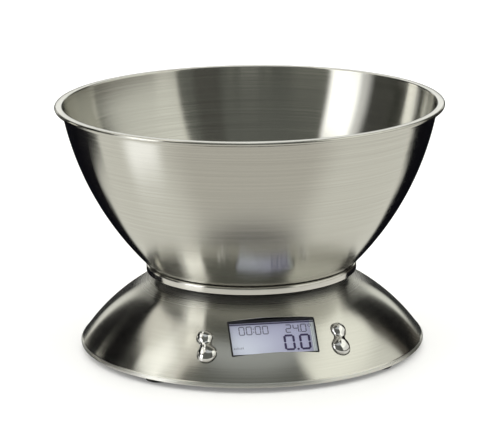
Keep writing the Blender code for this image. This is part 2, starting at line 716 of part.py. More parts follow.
def make_buttons():
    for name, side in (("left", -1), ("right", 1)):
        surface = button_frame(side)
        axis = surface @ Matrix.Translation((0.0, 0.0, ROCK_AXIS))
        rings = [
            figure_ring(1.0, FLANGE_BOTTOM), figure_ring(1.0, FLANGE_TOP),
            figure_ring(0.0, FLANGE_TOP), figure_ring(0.0, BUTTON_PROUD - 0.8),
            figure_ring(-0.5, BUTTON_PROUD - 0.2), figure_ring(-1.5, BUTTON_PROUD),
        ]
        from_axis = Matrix.Translation((0.0, 0.0, -ROCK_AXIS))
        bm = bmesh.new()
        add_loft(bm, rings, from_axis)
        button = make(f"button_{name}", bm, "chrome", axis)
        bm = bmesh.new()
        for lobe in LOBE_SPOTS:
            add_rod(bm, 1.4, PLUNGER_TIP, FLANGE_BOTTOM + 0.5, (0.0, lobe), 10, surface)
        reshape(button, "UNION", bm)

        # the ridge that the rocker tips on, standing on the board between its switches
        bm = bmesh.new()
        upright = surface @ Matrix.Rotation(math.pi / 2, 4, "Y") @ Matrix.Rotation(
            math.pi / 2, 4, "Z")
        ridge = [(-2.0, -10.5), (2.0, -10.5), (2.0, -6.5), (0.5, ROCK_AXIS), (-0.5, ROCK_AXIS),
                 (-2.0, -6.5)]
        add_prism(bm, ridge, -3.4, 3.4, upright)
        pivot = make(f"button_pivot_{name}", bm, "grey_plastic")
        bm = bmesh.new()
        add_slab(bm, (120.0, 60.0), BOARD_TOP - 12.0, BOARD_TOP + GAP, WINDOW_FRAME)
        reshape(pivot, "DIFFERENCE", bm)


# ---------------------------------------------------------------- batteries

def make_battery_door():
    """A lid that turns on its two hooks, with a latch tongue at the rear."""
    hinge_y, hinge_z = DOOR_HINGE
    place = Matrix.Translation((0.0, hinge_y, hinge_z))
    from_hinge = place.inverted()
    bm = bmesh.new()
    add_box(bm, (-DOOR_HALF, DOOR_FRONT, PLATE_BOTTOM), (DOOR_HALF, DOOR_REAR, DOOR_TOP), from_hinge)
    door = make("battery_door", bm, "dark_plastic", place)
    bm = bmesh.new()
    for x in (-15.0, 15.0):
        add_box(bm, (x - 3.0, DOOR_FRONT, DOOR_TOP - 0.6), (x + 3.0, DOOR_FRONT + 1.0, 7.1))
        add_box(bm, (x - 3.0, DOOR_FRONT - 2.3, PLATE_TOP + GAP), (x + 3.0, DOOR_FRONT + 1.0, 7.1))
    add_box(bm, (-5.0, DOOR_REAR - 1.2, DOOR_TOP - 0.6), (5.0, DOOR_REAR - 0.4, 8.4))
    reshape(door, "UNION", bm)


def make_batteries():
    ends = ((1, BATTERY_Y[0], "battery_front"), (-1, BATTERY_Y[1], "battery_rear"))
    outline = [
        (0.0, 0.0), (4.8, 0.0), (BATTERY_RADIUS, 0.5), (BATTERY_RADIUS, BATTERY_LENGTH - 1.6),
        (4.6, BATTERY_LENGTH - 0.9), (1.9, BATTERY_LENGTH - 0.9), (1.9, BATTERY_LENGTH),
        (0.0, BATTERY_LENGTH),
    ]
    for side, y, name in ends:
        start = Matrix.Translation((side * (BATTERY_END - BATTERY_LENGTH), y, BATTERY_Z))
        bm = bmesh.new()
        add_turned(bm, outline, 16, start @ Matrix.Rotation(side * math.pi / 2, 4, "Y"))
        make(name, bm, "battery")

    # springs press on the flat ends, plates on the raised ends
    turns, steps = 2.5, 20
    for side, y, name in ends:
        near = -side * (BATTERY_LENGTH - BATTERY_END + 0.9)
        far = -side * (WELL_HALF - 1.3)
        route = []
        for i in range(steps + 1):
            part = i / steps
            radius = 2.0 + 1.6 * part
            angle = math.tau * turns * part
            route.append((near + (far - near) * part, y + radius * math.cos(angle),
                          BATTERY_Z + radius * math.sin(angle)))
        make_tube(f"{name}_spring", route, 0.35, "zinc")

    thick, half = 0.3, 4.4
    wall = WELL_HALF - GAP
    spans = (("bridge", -wall, BATTERY_Y[0] - half, BATTERY_Y[1] + half),
             ("plus", wall - thick, BATTERY_Y[0] - half, BATTERY_Y[0] + half),
             ("minus", wall - thick, BATTERY_Y[1] - half, BATTERY_Y[1] + half))
    for name, x, front, rear in spans:
        bm = bmesh.new()
        add_box(bm, (x, front, BATTERY_Z - half), (x + thick, rear, BATTERY_Z + half))
        make(f"battery_contact_{name}", bm, "zinc")


def make_wires():
    """Wires from the battery box and the load cell to the back of the board."""
    solder = BOARD_TOP - BOARD_THICK - 1.0
    well_side = WELL_HALF + WELL_WALL + 1.0
    for name, look, start, along in (("battery_wire_red", "red", (40.0, 9.5), 0.0),
                                     ("battery_wire_black", "rubber", (47.0, 15.5), 2.4)):
        end = WINDOW_FRAME @ Vector((27.5 - along, 5.0, solder))
        route = [(well_side, *start), (well_side + 3.0 - along, 26.0, 9.0),
                 (30.0 - along, 4.0, 8.6), (28.5 - along, -22.0, 8.6),
                 (28.5 - along, -44.0, 11.5), tuple(end)]
        make_tube(name, smooth_route(route, 4), 0.6, look)
    end = WINDOW_FRAME @ Vector((-12.0, 4.0, solder))
    route = [(-2.0, -7.6, 20.0), (-4.0, -11.5, 17.5), (-8.0, -22.0, 12.0), (-11.0, -42.0, 12.5),
             tuple(end)]
    make_tube("load_cell_cable", smooth_route(route, 4), 0.9, "silicone")


def main():
    clear_scene()
    make_bowl()
    make_tray()
    make_carrier()
    make_load_cell()
    make_skirt()
    make_inner_frame()
    make_base_plate()
    make_feet()
    make_display()
    make_board()
    make_switches()
    make_buttons()
    make_battery_door()
    make_batteries()
    make_wires()


main()
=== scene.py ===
"""Looks of a kitchen scale with a lift-off mixing bowl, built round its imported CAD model.

Lengths are in millimetres and become metres when a mesh is made. The origin is on the table
under the middle of the scale, +Z is up, and the display faces -Y.
"""

import math

import bmesh
import bpy
from mathutils import Matrix, Vector


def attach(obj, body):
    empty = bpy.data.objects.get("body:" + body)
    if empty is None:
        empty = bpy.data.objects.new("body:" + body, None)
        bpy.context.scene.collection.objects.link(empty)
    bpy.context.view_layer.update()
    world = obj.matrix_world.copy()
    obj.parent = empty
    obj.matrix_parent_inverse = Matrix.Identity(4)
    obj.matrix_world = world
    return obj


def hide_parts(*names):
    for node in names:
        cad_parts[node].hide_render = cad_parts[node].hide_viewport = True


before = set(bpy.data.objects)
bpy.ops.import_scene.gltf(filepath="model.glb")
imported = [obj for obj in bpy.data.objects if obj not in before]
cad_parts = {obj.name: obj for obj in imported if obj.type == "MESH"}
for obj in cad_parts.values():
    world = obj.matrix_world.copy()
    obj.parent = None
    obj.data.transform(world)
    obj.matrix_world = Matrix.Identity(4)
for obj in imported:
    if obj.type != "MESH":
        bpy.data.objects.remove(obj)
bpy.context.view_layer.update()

MM = 0.001
FINE_ROUND = 224    # sides of the bowl, the tray and the skirt
MID_ROUND = 48      # sides of a foot

# Bowl: a spun steel dish whose wall is one arc, with a small radius at the floor
RIM_RADIUS = 108.0
BOWL_TOP = 138.6
BOWL_FLOOR = 47.9
BOWL_WALL = 0.7
BOWL_CORNER = 5.0
BOWL_CURVE = 166.4
BOWL_CENTRE = (-59.9, 165.2)    # radius and height of the wall arc's centre
WALL_TOP = 134.4                # where the wall turns out into the rim

# Weighing platform
TRAY_RADIUS = 59.0
TRAY_TOP = 47.6
TRAY_BOTTOM = 43.7
TRAY_WALL = 0.8
TRAY_EDGE = 1.2

# Skirt: a spun steel cover whose side is one arc
SKIRT_CURVE = 105.7
SKIRT_CENTRE = (8.9, -55.2)
SKIRT_WALL = 0.8
SKIRT_CREASE = 5.4              # height where the side meets the rolled edge
DECK_TOP = 40.8
DECK_HOLE = 40.0
LIP_RADIUS = 96.6
LIP_BOTTOM = 3.0

# Feet, under the base plate
FOOT_RADIUS = 7.0
FOOT_CIRCLE = 86.0
FOOT_TOP = 3.3
FOOT_PEG_RADIUS = 2.4
FOOT_BARB_RADIUS = 3.4          # where the peg widens above the plate
FOOT_BARB_BOTTOM = 6.3
FOOT_PEG_TOP = 7.3

# Display, in the plane of the window: X across, Y up the slope, Z out of the skirt
WINDOW_AT = (0.0, -73.95, 24.25)
WINDOW_TILT = math.radians(39.7)
WINDOW = (47.6, 23.0)
WINDOW_CORNER = 0.9
LENS = (50.8, 26.2)
LENS_TOP = -1.9
LENS_THICK = 1.0
LCD = (52.0, 28.0)
LCD_TOP = -4.9
LCD_THICK = 2.2
LCD_FACE = (48.0, 23.4)
LCD_FACE_TOP = -3.3             # the front glass stands up through the frame's opening

# Buttons: chrome figure-eight rockers beside the window
BUTTON_AT = (36.5, -73.6)
BUTTON_LENGTH = 19.9
LOWER_LOBE = 5.2
UPPER_LOBE = 4.3
WAIST_CURVE = 4.05
BUTTON_GAP = 0.4
BUTTON_PROUD = 3.0
WAIST_DIP = 0.28                # how much lower the dome is at the waist
WAIST_SPREAD = 2.4
FLANGE_WIDTH = 1.0
FLANGE_TOP = -2.25
FLANGE_BOTTOM = -3.3
LOBE_SPOTS = (LOWER_LOBE - BUTTON_LENGTH / 2, BUTTON_LENGTH / 2 - UPPER_LOBE)

# Camera, at the height and side that the scale is looked at from
CAMERA_AIM = (0.0, 0.0, 70.5)
CAMERA_DISTANCE = 1395.3
CAMERA_AZIMUTH = math.radians(-8.75)
CAMERA_ELEVATION = math.radians(14.27)
CAMERA_ROLL = math.radians(0.62)
CAMERA_LENS = 179.25
CAMERA_SHIFT = -0.0018


# ---------------------------------------------------------------- outlines

def arc(centre, radius, start, end, steps):
    """Points of an arc between two angles in degrees, both ends included."""
    turns = [math.radians(start + (end - start) * i / steps) for i in range(steps + 1)]
    return [(centre[0] + radius * math.cos(t), centre[1] + radius * math.sin(t)) for t in turns]


def smooth_line(points, steps):
    """Points along a Catmull-Rom curve through the given ones."""
    knots = [Vector(point) for point in points]
    knots = [2 * knots[0] - knots[1]] + knots + [2 * knots[-1] - knots[-2]]
    line = []
    for a, b, c, d in zip(knots, knots[1:], knots[2:], knots[3:]):
        for i in range(steps):
            t = i / steps
            line.append(
                0.5 * (2 * b + (c - a) * t + (2 * a - 5 * b + 4 * c - d) * t**2
                       + (3 * b - a - 3 * c + d) * t**3)
            )
    return [tuple(point) for point in line + [knots[-2]]]


def round_box(size, radius, steps=6):
    """A rectangle with round corners, counter-clockwise from its lower right."""
    reach = (size[0] / 2 - radius, size[1] / 2 - radius)
    corners = ((1, -1, -90), (1, 1, 0), (-1, 1, 90), (-1, -1, 180))
    points = []
    for x, y, turn in corners:
        points += arc((x * reach[0], y * reach[1]), radius, turn, turn + 90, steps)
    return points


def bowl_side(inset, steps):
    """The bowl's side from the floor's edge to the top of the wall, moved in by inset."""
    corner_z = BOWL_FLOOR + BOWL_CORNER
    drop = corner_z - BOWL_CENTRE[1]
    reach = math.sqrt((BOWL_CURVE - BOWL_CORNER) ** 2 - drop**2)
    meet = math.degrees(math.atan2(drop, reach))
    curve = BOWL_CURVE - inset
    top = math.degrees(math.asin((WALL_TOP - BOWL_CENTRE[1]) / curve))
    corner = arc((BOWL_CENTRE[0] + reach, corner_z), BOWL_CORNER - inset, -90, meet, 8)
    return corner + arc(BOWL_CENTRE, curve, meet, top, steps)[1:]


def skirt_height(radius, offset=0.0):
    """Height of the skirt's arc at a distance from the middle."""
    return SKIRT_CENTRE[1] + math.sqrt(
        (SKIRT_CURVE - offset) ** 2 - (radius - SKIRT_CENTRE[0]) ** 2
    )


def skirt_side(inset, low, high, steps):
    """The skirt's side from the height high down to low, moved in by inset."""
    curve = SKIRT_CURVE - inset
    top, bottom = [
        math.degrees(math.asin((z - SKIRT_CENTRE[1]) / curve)) for z in (high, low)
    ]
    return arc(SKIRT_CENTRE, curve, top, bottom, steps)


def figure_eight(grow, steps=14):
    """The button's outline in its own plane, grown outwards."""
    low_at, high_at = LOBE_SPOTS
    span = high_at - low_at
    to_low, to_high = LOWER_LOBE + WAIST_CURVE, UPPER_LOBE + WAIST_CURVE
    along = (to_low**2 - to_high**2 + span**2) / (2 * span)
    aside = math.sqrt(to_low**2 - along**2)
    low_turn = math.degrees(math.atan2(along, aside))
    high_turn = math.degrees(math.atan2(span - along, aside))
    right = arc((0, low_at), LOWER_LOBE + grow, -90, low_turn, steps)
    waist = arc((aside, low_at + along), WAIST_CURVE - grow, 180 + low_turn, 180 - high_turn, 8)
    right += waist[1:] + arc((0, high_at), UPPER_LOBE + grow, -high_turn, 90, steps)[1:]
    return right + [(-x, y) for x, y in right[-2:0:-1]]


# ---------------------------------------------------------------- local frames

WINDOW_FRAME = Matrix.Translation(WINDOW_AT) @ Matrix.Rotation(WINDOW_TILT, 4, "X")


def button_frame(side):
    """A frame on the skirt at a button: Y up the slope at constant X, Z out of the surface."""
    x, y = side * BUTTON_AT[0], BUTTON_AT[1]
    radius = math.hypot(x, y)
    lean = math.asin((radius - SKIRT_CENTRE[0]) / SKIRT_CURVE)
    out = Vector((x / radius * math.sin(lean), y / radius * math.sin(lean), math.cos(lean)))
    up = Vector((0.0, out.z, -out.y)).normalized()
    turn = Matrix((up.cross(out), up, out)).transposed().to_4x4()
    return Matrix.Translation((x, y, skirt_height(radius))) @ turn


# ---------------------------------------------------------------- mesh building

def turned(bm, outline, sides, place=None):
    """Turns a (radius, height) outline round Z. It starts and ends on the axis, or is closed."""
    rings = []
    for radius, height in outline:
        spots = sides if radius > 1e-6 else 1
        ring = []
        for i in range(spots):
            angle = math.tau * i / sides
            spot = Vector((radius * math.cos(angle), radius * math.sin(angle), height))
            ring.append(bm.verts.new(place @ spot if place else spot))
        rings.append(ring)
    for low, high in zip(rings, rings[1:] + rings[:1]):
        if len(low) == len(high) == 1:
            continue
        for i in range(sides):
            j = (i + 1) % sides
            corners = [low[i % len(low)], low[j % len(low)], high[j % len(high)], high[i % len(high)]]
            bm.faces.new(list(dict.fromkeys(corners)))


def loft(bm, rings, place=None, caps=True):
    """A skin through rings with the same number of points, closed by a face at each end."""
    loops = []
    for ring in rings:
        loops.append([bm.verts.new(place @ Vector(p) if place else Vector(p)) for p in ring])
    for low, high in zip(loops, loops[1:]):
        for i, corner in enumerate(low):
            j = (i + 1) % len(low)
            bm.faces.new((corner, low[j], high[j], high[i]))
    if caps:
        bm.faces.new(loops[0][::-1])
        bm.faces.new(loops[-1])


def at_height(outline, height):
    """A flat outline as points at one height."""
    return [(x, y, height) for x, y in outline]


def to_object(name, bm, sharp=35):
    """An object in metres, smooth except where faces meet at more than sharp degrees."""
    bmesh.ops.recalc_face_normals(bm, faces=bm.faces)
    bmesh.ops.scale(bm, vec=(MM, MM, MM), verts=bm.verts)
    mesh = bpy.data.meshes.new(name)
    bm.to_mesh(mesh)
    bm.free()
    mesh.shade_smooth()
    mesh.set_sharp_from_angle(angle=math.radians(sharp))
    piece = bpy.data.objects.new(name, mesh)
    bpy.context.scene.collection.objects.link(piece)
    return piece


def piece_of(name, bm, body, slot, look=None, stands_for=(), sharp=35):
    """A finished piece: its mesh, its material, and the body that it rides on."""
    piece = to_object(name, bm, sharp)
    piece.data.materials.append(LOOKS[look or slot])
    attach(piece, body)
    if stands_for:
        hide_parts(*stands_for)
    return piece


def cut(piece, tools):
    """Cuts the shapes of some meshes out of a piece, and removes them."""
    for tool in tools:
        change = piece.modifiers.new(tool.name, "BOOLEAN")
        change.operation = "DIFFERENCE"
        change.solver = "EXACT"
        change.object = tool
        with bpy.context.temp_override(object=piece, active_object=piece):
            bpy.ops.object.modifier_apply(modifier=change.name)
        bpy.data.objects.remove(tool, do_unlink=True)


# ---------------------------------------------------------------- node helpers

def add_node(tree, kind, inputs=None, **settings):
    """A node with its settings, and its inputs given as numbers or as other nodes' sockets."""
    made = tree.nodes.new(kind)
    for name, value in settings.items():
        setattr(made, name, value)
    for socket, value in (inputs or {}).items():
        if isinstance(value, bpy.types.NodeSocket):
            tree.links.new(value, made.inputs[socket])
        else:
            made.inputs[socket].default_value = value
    return made


def maths(tree, operation, *values):
    """A Math node's result, from numbers or other nodes' sockets."""
    return add_node(tree, "ShaderNodeMath", dict(enumerate(values)), operation=operation).outputs[0]


def fade(tree, value, start, end, low=0.0, high=1.0):
    """A smooth change from low at start to high at end."""
    made = add_node(
        tree, "ShaderNodeMapRange",
        {"Value": value, "From Min": start, "From Max": end, "To Min": low, "To Max": high},
        interpolation_type="SMOOTHSTEP",
    )
    return made.outputs["Result"]


def mix_colour(tree, factor, first, second):
    """A colour that goes from the first to the second as factor goes from 0 to 1."""
    made = add_node(tree, "ShaderNodeMix", data_type="RGBA")
    for index, value in ((0, factor), (6, first), (7, second)):
        if isinstance(value, bpy.types.NodeSocket):
            tree.links.new(value, made.inputs[index])
        else:
            made.inputs[index].default_value = (*value, 1.0) if index else value
    return made.outputs[2]


def noise(tree, vector, scale, detail=2.0, roughness=0.5):
    """Smooth noise from 0 to 1."""
    made = add_node(
        tree, "ShaderNodeTexNoise",
        {"Vector": vector, "Scale": scale, "Detail": detail, "Roughness": roughness},
    )
    return made.outputs["Fac"]


def bump(tree, height, distance, strength=1.0):
    """A normal that stands for small heights, in metres."""
    made = add_node(
        tree, "ShaderNodeBump", {"Height": height, "Distance": distance, "Strength": strength}
    )
    return made.outputs["Normal"]


def new_look(name, colour, roughness, metallic=0.0, **more):
    """A node material. Extra arguments set the shader's own sockets."""
    made = bpy.data.materials.new(name)
    made.use_nodes = True
    shader = made.node_tree.nodes["Principled BSDF"]
    shader.inputs["Base Color"].default_value = (*colour, 1.0)
    shader.inputs["Roughness"].default_value = roughness
    shader.inputs["Metallic"].default_value = metallic
    for socket, value in more.items():
        shader.inputs[socket.replace("_", " ")].default_value = value
    return made, made.node_tree, shader


def place_of(tree):
    """The point's place in the part's own frame, in metres."""
    return add_node(tree, "ShaderNodeTexCoord").outputs["Object"]


# ---------------------------------------------------------------- materials

# The skirt's steel: the paler colour of its matt rolled edge, which is a painted reflection of the
# white floor, and the heights in metres below which it is matt and painted paler and between which
# its brushing becomes coarser
PAINTED_REFLECTION_EDGE = (0.93, 0.93, 0.90)
MATT_AND_PAINTED_BELOW = (SKIRT_CREASE - 0.3) * MM
COARSE_FROM, COARSE_TO = 0.031, 0.038


def brushed_steel(name, colour, roughness, across, streaks=1.0, skirt=False):
    """Steel brushed round the axis.

    across is how far radius and height count across the lines. The skirt's steel is more matt on
    the rolled edge and painted paler there, as a painted reflection of the white floor, and its
    brushing is coarser towards the top.
    """
    made, tree, shader = new_look(
        name, colour, roughness, metallic=1.0, Anisotropic=1.0, Anisotropic_Rotation=0.25
    )
    spot = add_node(tree, "ShaderNodeSeparateXYZ", {0: place_of(tree)}).outputs
    radius = maths(tree, "SQRT", maths(tree, "ADD", maths(tree, "MULTIPLY", spot["X"], spot["X"]),
                                       maths(tree, "MULTIPLY", spot["Y"], spot["Y"])))
    safe = maths(tree, "MAXIMUM", radius, 0.001)
    span = maths(tree, "ADD", maths(tree, "MULTIPLY", radius, across[0]),
                 maths(tree, "MULTIPLY", spot["Z"], across[1]))

    def lines(pitch, length):
        """Noise that changes every pitch across the lines and about every length round them."""
        turn = 0.1 / length
        vector = add_node(tree, "ShaderNodeCombineXYZ", {
            "X": maths(tree, "MULTIPLY", maths(tree, "DIVIDE", spot["X"], safe), turn),
            "Y": maths(tree, "MULTIPLY", maths(tree, "DIVIDE", spot["Y"], safe), turn),
            "Z": maths(tree, "MULTIPLY", span, 1.0 / pitch),
        }).outputs[0]
        return noise(tree, vector, 1.0, 2.0)

    fine = lines(0.00025, 0.08)
    broad = lines(0.0006, 0.2)
    mottle = maths(tree, "ADD", maths(tree, "MULTIPLY", fine, 0.5), maths(tree, "MULTIPLY", broad, 0.5))
    level = fade(tree, mottle, 0.25, 0.75, roughness - 0.03 * streaks, roughness + 0.04 * streaks)
    dark = tuple(c * (1 - 0.08 * streaks) for c in colour)
    light = tuple(min(1.0, c * (1 + 0.06 * streaks)) for c in colour)
    tint = mix_colour(tree, fade(tree, mottle, 0.3, 0.7), dark, light)
    if skirt:
        brushed = fade(tree, spot["Z"], MATT_AND_PAINTED_BELOW - 0.0002, MATT_AND_PAINTED_BELOW + 0.0002)
        level = maths(tree, "ADD", level, maths(tree, "MULTIPLY_ADD", brushed, -0.3, 0.3))
        coarse = fade(tree, spot["Z"], COARSE_FROM, COARSE_TO, 0.0, 0.13)
        level = maths(tree, "ADD", level, coarse)
        # painted reflection: below the crease the colour turns to the paler edge colour, which stands
        # for the white floor seen in the rolled edge
        tint = mix_colour(tree, brushed, PAINTED_REFLECTION_EDGE, tint)
    tree.links.new(level, shader.inputs["Roughness"])
    tree.links.new(tint, shader.inputs["Base Color"])
    tree.links.new(bump(tree, mottle, 0.000006, 0.4 * streaks), shader.inputs["Normal"])
    tangent = add_node(tree, "ShaderNodeTangent", direction_type="RADIAL", axis="Z")
    tree.links.new(tangent.outputs[0], shader.inputs["Tangent"])
    return made


def plain_metal(name, colour, roughness, grain=0.0004):
    """Bare or plated metal with faint patches and a fine grain."""
    made, tree, shader = new_look(name, colour, roughness, metallic=1.0)
    spots = noise(tree, place_of(tree), 1.0 / grain, 3.0)
    tree.links.new(fade(tree, spots, 0.3, 0.7, roughness * 0.8, roughness * 1.25),
                   shader.inputs["Roughness"])
    patches = noise(tree, place_of(tree), 250.0, 2.0)
    tree.links.new(mix_colour(tree, fade(tree, patches, 0.35, 0.65), colour,
                              tuple(c * 0.88 for c in colour)), shader.inputs["Base Color"])
    tree.links.new(bump(tree, spots, 0.000004, 0.4), shader.inputs["Normal"])
    return made


def moulded(name, colour, roughness, grain=0.0005, depth=0.00002, **more):
    """Moulded plastic or rubber with a fine sparked texture."""
    made, tree, shader = new_look(name, colour, roughness, **more)
    spot = place_of(tree)
    texture = noise(tree, spot, 1.0 / grain, 2.0)
    cloud = noise(tree, spot, 60.0, 2.0)
    tree.links.new(fade(tree, texture, 0.3, 0.7, roughness - 0.07, min(1.0, roughness + 0.07)),
                   shader.inputs["Roughness"])
    tree.links.new(mix_colour(tree, fade(tree, cloud, 0.3, 0.7), tuple(c * 0.88 for c in colour),
                              tuple(min(1.0, c * 1.1) for c in colour)), shader.inputs["Base Color"])
    tree.links.new(bump(tree, texture, depth, 0.5), shader.inputs["Normal"])
    return made


def clear_window(name):
    """Clear acrylic that shows what is behind it. Only its outer faces reflect."""
    made = bpy.data.materials.new(name)
    made.use_nodes = True
    tree = made.node_tree
    shader = tree.nodes["Principled BSDF"]
    shader.inputs["Base Color"].default_value = (0.85, 0.88, 0.90, 1.0)
    shader.inputs["Metallic"].default_value = 1.0
    smudge = noise(tree, place_of(tree), 180.0, 3.0)
    tree.links.new(fade(tree, smudge, 0.4, 0.7, 0.02, 0.06), shader.inputs["Roughness"])
    inside = add_node(tree, "ShaderNodeNewGeometry").outputs["Backfacing"]
    edge = maths(tree, "MULTIPLY", add_node(tree, "ShaderNodeFresnel", {"IOR": 1.49}).outputs[0],
                 maths(tree, "SUBTRACT", 1.0, inside))
    through = add_node(tree, "ShaderNodeBsdfTransparent", {"Color": (0.94, 0.95, 0.96, 1.0)})
    blend = add_node(tree, "ShaderNodeMixShader", {0: edge, 1: through.outputs[0],
                                                   2: shader.outputs[0]})
    tree.links.new(blend.outputs[0], tree.nodes["Material Output"].inputs["Surface"])
    return made


def display_glass(name):
    """A backlit lavender display, with painted light to the lower left, a painted shadow line near its
    top and a bare glass strip on the right.
    """
    made, tree, shader = new_look(name, (0.42, 0.42, 0.52), 0.25, Emission_Strength=0.22)
    spot = add_node(tree, "ShaderNodeSeparateXYZ", {0: place_of(tree)}).outputs
    # painted light: the face is paler towards the lower left, and since this colour also drives the
    # glow, that corner glows brighter
    to_left = fade(tree, spot["X"], 0.016, -0.026)
    to_low = fade(tree, spot["Z"], 0.032, 0.0165)
    painted_light_lower_left = maths(tree, "MULTIPLY", to_left, maths(tree, "ADD", to_low, 0.25))
    face = mix_colour(tree, painted_light_lower_left, (0.47, 0.46, 0.60), (0.76, 0.78, 0.86))
    cells = noise(tree, place_of(tree), 2600.0, 1.0)
    face = mix_colour(tree, fade(tree, cells, 0.3, 0.7, 0.0, 0.07), face, (0.30, 0.28, 0.40))
    ridges = maths(tree, "SINE", maths(tree, "MULTIPLY", spot["X"], math.tau / 0.0009))
    strip = mix_colour(tree, fade(tree, ridges, -0.4, 0.8), (0.57, 0.60, 0.60), (0.85, 0.88, 0.86))
    colour = mix_colour(tree, fade(tree, spot["X"], 0.0212, 0.0217), face, strip)
    # painted shadow: a thin dark line near the face's top edge stands for the shade of the window's
    # black edge, and it dims the glow there too
    line = maths(tree, "MULTIPLY", fade(tree, spot["Z"], 0.0283, 0.0285),
                 fade(tree, spot["Z"], 0.0290, 0.0288))
    colour = mix_colour(tree, line, colour, (0.08, 0.07, 0.13))
    tree.links.new(colour, shader.inputs["Base Color"])
    tree.links.new(colour, shader.inputs["Emission Color"])
    return made


def printed_board(name):
    """Green solder mask over faint copper runs."""
    made, tree, shader = new_look(name, (0.03, 0.18, 0.07), 0.4, Coat_Weight=0.3)
    cells = add_node(tree, "ShaderNodeTexVoronoi", {"Vector": place_of(tree), "Scale": 260.0},
                     feature="DISTANCE_TO_EDGE")
    runs = fade(tree, cells.outputs["Distance"], 0.02, 0.06)
    tree.links.new(mix_colour(tree, runs, (0.07, 0.27, 0.11), (0.03, 0.16, 0.06)),
                   shader.inputs["Base Color"])
    tree.links.new(bump(tree, runs, 0.00003, 0.4), shader.inputs["Normal"])
    return made


def battery_sleeve(name):
    """A blue sleeve with a silver band towards each raised end."""
    made, tree, shader = new_look(name, (0.10, 0.20, 0.42), 0.3, metallic=0.6)
    spot = add_node(tree, "ShaderNodeSeparateXYZ", {0: place_of(tree)}).outputs
    band = fade(tree, maths(tree, "ABSOLUTE", spot["X"]), 0.0142, 0.0144)
    wear = noise(tree, place_of(tree), 500.0, 2.0)
    colour = mix_colour(tree, band, (0.10, 0.20, 0.42), (0.66, 0.66, 0.68))
    tree.links.new(colour, shader.inputs["Base Color"])
    tree.links.new(fade(tree, wear, 0.3, 0.7, 0.24, 0.36), shader.inputs["Roughness"])
    return made


LOOKS = {
    "bowl_steel": brushed_steel("bowl_steel", (0.63, 0.625, 0.585), 0.15, (1.0, 1.0)),
    "tray_steel": brushed_steel("tray_steel", (0.74, 0.73, 0.70), 0.15, (1.0, -1.0), 0.6),
    "skirt_steel": brushed_steel("skirt_steel", (0.63, 0.625, 0.585), 0.15, (1.0, -1.0), 0.8,
                                 skirt=True),
    "chrome": plain_metal("chrome", (0.82, 0.82, 0.82), 0.06, 0.0008),
    "zinc": plain_metal("zinc", (0.60, 0.60, 0.57), 0.32),
    "aluminium": plain_metal("aluminium", (0.72, 0.72, 0.74), 0.36),
    "dark_plastic": moulded("dark_plastic", (0.035, 0.035, 0.038), 0.5),
    "grey_plastic": moulded("grey_plastic", (0.10, 0.10, 0.105), 0.5),
    "white_plastic": moulded("white_plastic", (0.80, 0.80, 0.78), 0.45),
    "rubber": moulded("rubber", (0.018, 0.018, 0.018), 0.82, 0.0008),
    "window": clear_window("window"),
    "lcd": display_glass("lcd"),
    "board": printed_board("board"),
    "silicone": moulded("silicone", (0.75, 0.74, 0.70), 0.6),
    "battery": battery_sleeve("battery"),
    "red_wire": moulded("red_wire", (0.55, 0.03, 0.02), 0.45),
    "black_wire": moulded("black_wire", (0.02, 0.02, 0.02), 0.45),
    "cable": moulded("cable", (0.74, 0.73, 0.69), 0.5),
    "label": moulded("label", (0.70, 0.70, 0.68), 0.5, 0.0006, 0.000005),
    "weight_ink": moulded("weight_ink", (0.06, 0.04, 0.12), 0.4),
    "small_ink": moulded("small_ink", (0.16, 0.15, 0.21), 0.4),
    "faint_ink": moulded("faint_ink", (0.42, 0.42, 0.50), 0.4),
    "gasket": moulded("gasket", (0.012, 0.012, 0.014), 0.6),
}


def dress_cad_nodes():
    """Gives each CAD node the look of its slot. The nodes themselves stay as they are."""
    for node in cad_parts.values():
        for holder in node.material_slots:
            holder.material = LOOKS[holder.material.name.split(".")[0]]


# ---------------------------------------------------------------- bowl, tray and skirt

def make_bowl():
    """The spun dish, with a flat floor and a rolled rim with a flat flange."""
    rim = smooth_line(
        [(RIM_RADIUS - 4.4, WALL_TOP), (RIM_RADIUS - 3.6, BOWL_TOP - 2.4),
         (RIM_RADIUS - 1.9, BOWL_TOP - 2.3), (RIM_RADIUS - 0.5, BOWL_TOP - 2.2),
         (RIM_RADIUS, BOWL_TOP - 1.2), (RIM_RADIUS - 0.4, BOWL_TOP - 0.3),
         (RIM_RADIUS - 1.3, BOWL_TOP - 0.05), (RIM_RADIUS - 2.6, BOWL_TOP),
         (RIM_RADIUS - 3.8, BOWL_TOP - 0.05), (RIM_RADIUS - 4.3, BOWL_TOP - 0.35),
         (RIM_RADIUS - 4.5, BOWL_TOP - 0.9), (RIM_RADIUS - 4.67, BOWL_TOP - 1.9),
         (RIM_RADIUS - 5.09, WALL_TOP)], 4
    )[1:-1]
    outline = [(0.0, BOWL_FLOOR)] + bowl_side(0.0, 56) + rim
    outline += bowl_side(BOWL_WALL, 56)[::-1] + [(0.0, BOWL_FLOOR + BOWL_WALL)]
    bm = bmesh.new()
    turned(bm, outline, FINE_ROUND)
    piece_of("bowl_fine", bm, "bowl", "bowl_steel", stands_for=["bowl"], sharp=60)


def make_tray():
    """The round weighing tray under the bowl, open below."""
    middle = (TRAY_RADIUS - TRAY_EDGE, TRAY_TOP - TRAY_EDGE)
    outline = [(TRAY_RADIUS - TRAY_WALL, TRAY_BOTTOM), (TRAY_RADIUS, TRAY_BOTTOM)]
    outline += arc(middle, TRAY_EDGE, 0, 90, 6)
    outline += [(0.0, TRAY_TOP), (0.0, TRAY_TOP - TRAY_WALL)]
    outline += arc(middle, TRAY_EDGE - TRAY_WALL, 90, 0, 3)
    bm = bmesh.new()
    turned(bm, outline, FINE_ROUND)
    piece_of("tray_fine", bm, "platform", "tray_steel", stands_for=["platform_tray"])


